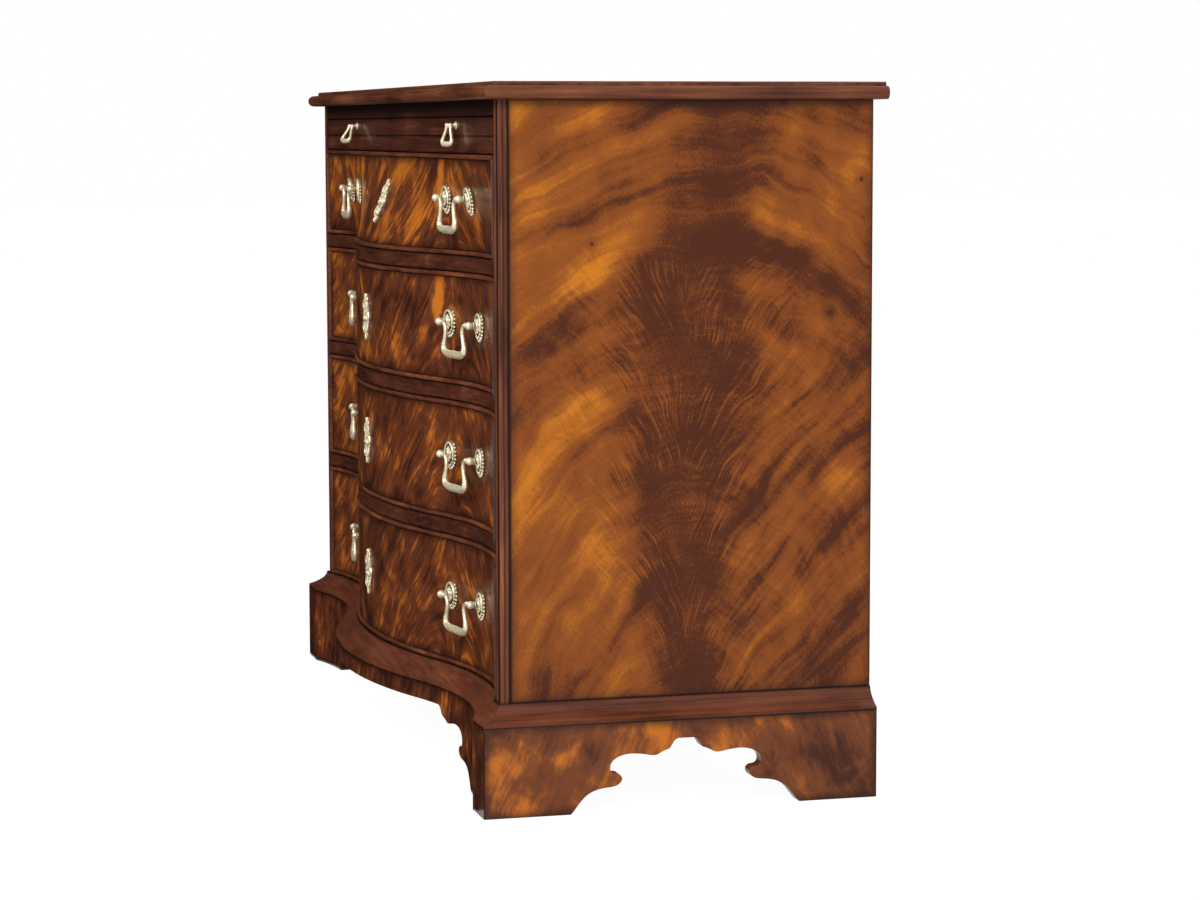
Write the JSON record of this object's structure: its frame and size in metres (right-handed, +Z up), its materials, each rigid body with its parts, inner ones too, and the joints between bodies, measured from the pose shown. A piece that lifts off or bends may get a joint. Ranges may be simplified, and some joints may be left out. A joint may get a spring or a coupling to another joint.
{
  "type": "chest of drawers",
  "caption": "Serpentine mahogany chest of drawers with a brushing slide, graduated drawers with swan-neck bail handles, a moulded base and scrolled bracket feet.",
  "frame": {"origin": "middle of the footprint, on the floor", "axes": "+X to the right of someone who faces the drawers, -Y out of the front, +Z up"},
  "size_m": [1.198, 0.5478, 0.85],
  "materials": {
    "flame": "gloss",
    "straight": "gloss",
    "secondary": "matte",
    "brass": "satin",
    "iron": "matte"
  },
  "bodies": {
    "carcase": {"top_board": "straight", "side_right": "flame", "side_left": "flame", "back_boards": "secondary", "carcase_bottom": "secondary", "frieze_rails": "straight", "drawer_rails": "straight", "dust_boards": "secondary", "runners": "secondary", "corner_posts": "straight", "base_moulding_front": "straight", "base_moulding_returns": "straight", "front_apron": "flame", "side_aprons": "flame", "rear_feet": "secondary", "glue_blocks": "secondary"},
    "brushing_slide": {"slide_board": "straight", "slide_pulls": "brass"},
    "slide_bail_right": {"slide_bail_right": "brass"},
    "slide_bail_left": {"slide_bail_left": "brass"},
    "drawer_1": {"drawer_1_front": "flame", "drawer_1_beading": "straight", "drawer_1_box": "secondary", "drawer_1_bottom": "secondary", "drawer_1_escutcheon": "brass", "drawer_1_lock": "iron", "drawer_1_handles": "brass"},
    "drawer_1_bolt": {"drawer_1_bolt": "iron"},
    "drawer_1_bail_right": {"drawer_1_bail_right": "brass"},
    "drawer_1_bail_left": {"drawer_1_bail_left": "brass"},
    "drawer_2": {"drawer_2_front": "flame", "drawer_2_beading": "straight", "drawer_2_box": "secondary", "drawer_2_bottom": "secondary", "drawer_2_escutcheon": "brass", "drawer_2_lock": "iron", "drawer_2_handles": "brass"},
    "drawer_2_bolt": {"drawer_2_bolt": "iron"},
    "drawer_2_bail_right": {"drawer_2_bail_right": "brass"},
    "drawer_2_bail_left": {"drawer_2_bail_left": "brass"},
    "drawer_3": {"drawer_3_front": "flame", "drawer_3_beading": "straight", "drawer_3_box": "secondary", "drawer_3_bottom": "secondary", "drawer_3_escutcheon": "brass", "drawer_3_lock": "iron", "drawer_3_handles": "brass"},
    "drawer_3_bolt": {"drawer_3_bolt": "iron"},
    "drawer_3_bail_right": {"drawer_3_bail_right": "brass"},
    "drawer_3_bail_left": {"drawer_3_bail_left": "brass"},
    "drawer_4": {"drawer_4_front": "flame", "drawer_4_beading": "straight", "drawer_4_box": "secondary", "drawer_4_bottom": "secondary", "drawer_4_escutcheon": "brass", "drawer_4_lock": "iron", "drawer_4_handles": "brass"},
    "drawer_4_bolt": {"drawer_4_bolt": "iron"},
    "drawer_4_bail_right": {"drawer_4_bail_right": "brass"},
    "drawer_4_bail_left": {"drawer_4_bail_left": "brass"}
  },
  "joints": [
    {"name": "slide_out", "type": "slide", "parent": "carcase", "child": "brushing_slide", "axis": [0, -1, 0], "range_m": [0, 0.3]},
    {"name": "slide_bail_right_swing", "type": "hinge", "parent": "brushing_slide", "child": "slide_bail_right", "pos_m": [0.344, -0.20114, 0.79985], "axis": [-0.9511, -0.309, 0], "range_deg": [0, 82]},
    {"name": "slide_bail_left_swing", "type": "hinge", "parent": "brushing_slide", "child": "slide_bail_left", "pos_m": [-0.31, -0.20114, 0.79985], "axis": [-0.9511, -0.309, 0], "range_deg": [0, 65]},
    {"name": "drawer_1_out", "type": "slide", "parent": "carcase", "child": "drawer_1", "axis": [0, -1, 0], "range_m": [0, 0.3]},
    {"name": "drawer_1_bolt_lift", "type": "slide", "parent": "drawer_1", "child": "drawer_1_bolt", "axis": [0, 0.351, 0.9364], "range_m": [0, 0.0075]},
    {"name": "drawer_1_bail_right_swing", "type": "hinge", "parent": "drawer_1", "child": "drawer_1_bail_right", "pos_m": [0.34105, -0.20333, 0.7117], "axis": [-0.9977, -0.0679, 0], "range_deg": [-8, 95]},
    {"name": "drawer_1_bail_left_swing", "type": "hinge", "parent": "drawer_1", "child": "drawer_1_bail_left", "pos_m": [-0.34105, -0.20333, 0.7117], "axis": [-0.9977, 0.0679, 0], "range_deg": [-8, 95]},
    {"name": "drawer_2_out", "type": "slide", "parent": "carcase", "child": "drawer_2", "axis": [0, -1, 0], "range_m": [0, 0.3]},
    {"name": "drawer_2_bolt_lift", "type": "slide", "parent": "drawer_2", "child": "drawer_2_bolt", "axis": [0, 0, 1], "range_m": [0, 0.0075]},
    {"name": "drawer_2_bail_right_swing", "type": "hinge", "parent": "drawer_2", "child": "drawer_2_bail_right", "pos_m": [0.3424, -0.19632, 0.5595], "axis": [-0.988, -0.1545, 0], "range_deg": [-8, 95]},
    {"name": "drawer_2_bail_left_swing", "type": "hinge", "parent": "drawer_2", "child": "drawer_2_bail_left", "pos_m": [-0.3424, -0.19632, 0.5595], "axis": [-0.988, 0.1545, 0], "range_deg": [-8, 95]},
    {"name": "drawer_3_out", "type": "slide", "parent": "carcase", "child": "drawer_3", "axis": [0, -1, 0], "range_m": [0, 0.3]},
    {"name": "drawer_3_bolt_lift", "type": "slide", "parent": "drawer_3", "child": "drawer_3_bolt", "axis": [0, 0, 1], "range_m": [0, 0.0075]},
    {"name": "drawer_3_bail_right_swing", "type": "hinge", "parent": "drawer_3", "child": "drawer_3_bail_right", "pos_m": [0.3424, -0.19632, 0.3953], "axis": [-0.988, -0.1545, 0], "range_deg": [-8, 95]},
    {"name": "drawer_3_bail_left_swing", "type": "hinge", "parent": "drawer_3", "child": "drawer_3_bail_left", "pos_m": [-0.3424, -0.19632, 0.3953], "axis": [-0.988, 0.1545, 0], "range_deg": [-8, 95]},
    {"name": "drawer_4_out", "type": "slide", "parent": "carcase", "child": "drawer_4", "axis": [0, -1, 0], "range_m": [0, 0.3]},
    {"name": "drawer_4_bolt_lift", "type": "slide", "parent": "drawer_4", "child": "drawer_4_bolt", "axis": [0, 0, 1], "range_m": [0, 0.0075]},
    {"name": "drawer_4_bail_right_swing", "type": "hinge", "parent": "drawer_4", "child": "drawer_4_bail_right", "pos_m": [0.3424, -0.19632, 0.2196], "axis": [-0.988, -0.1545, 0], "range_deg": [-8, 95]},
    {"name": "drawer_4_bail_left_swing", "type": "hinge", "parent": "drawer_4", "child": "drawer_4_bail_left", "pos_m": [-0.3424, -0.19632, 0.2196], "axis": [-0.988, 0.1545, 0], "range_deg": [-8, 95]}
  ]
}
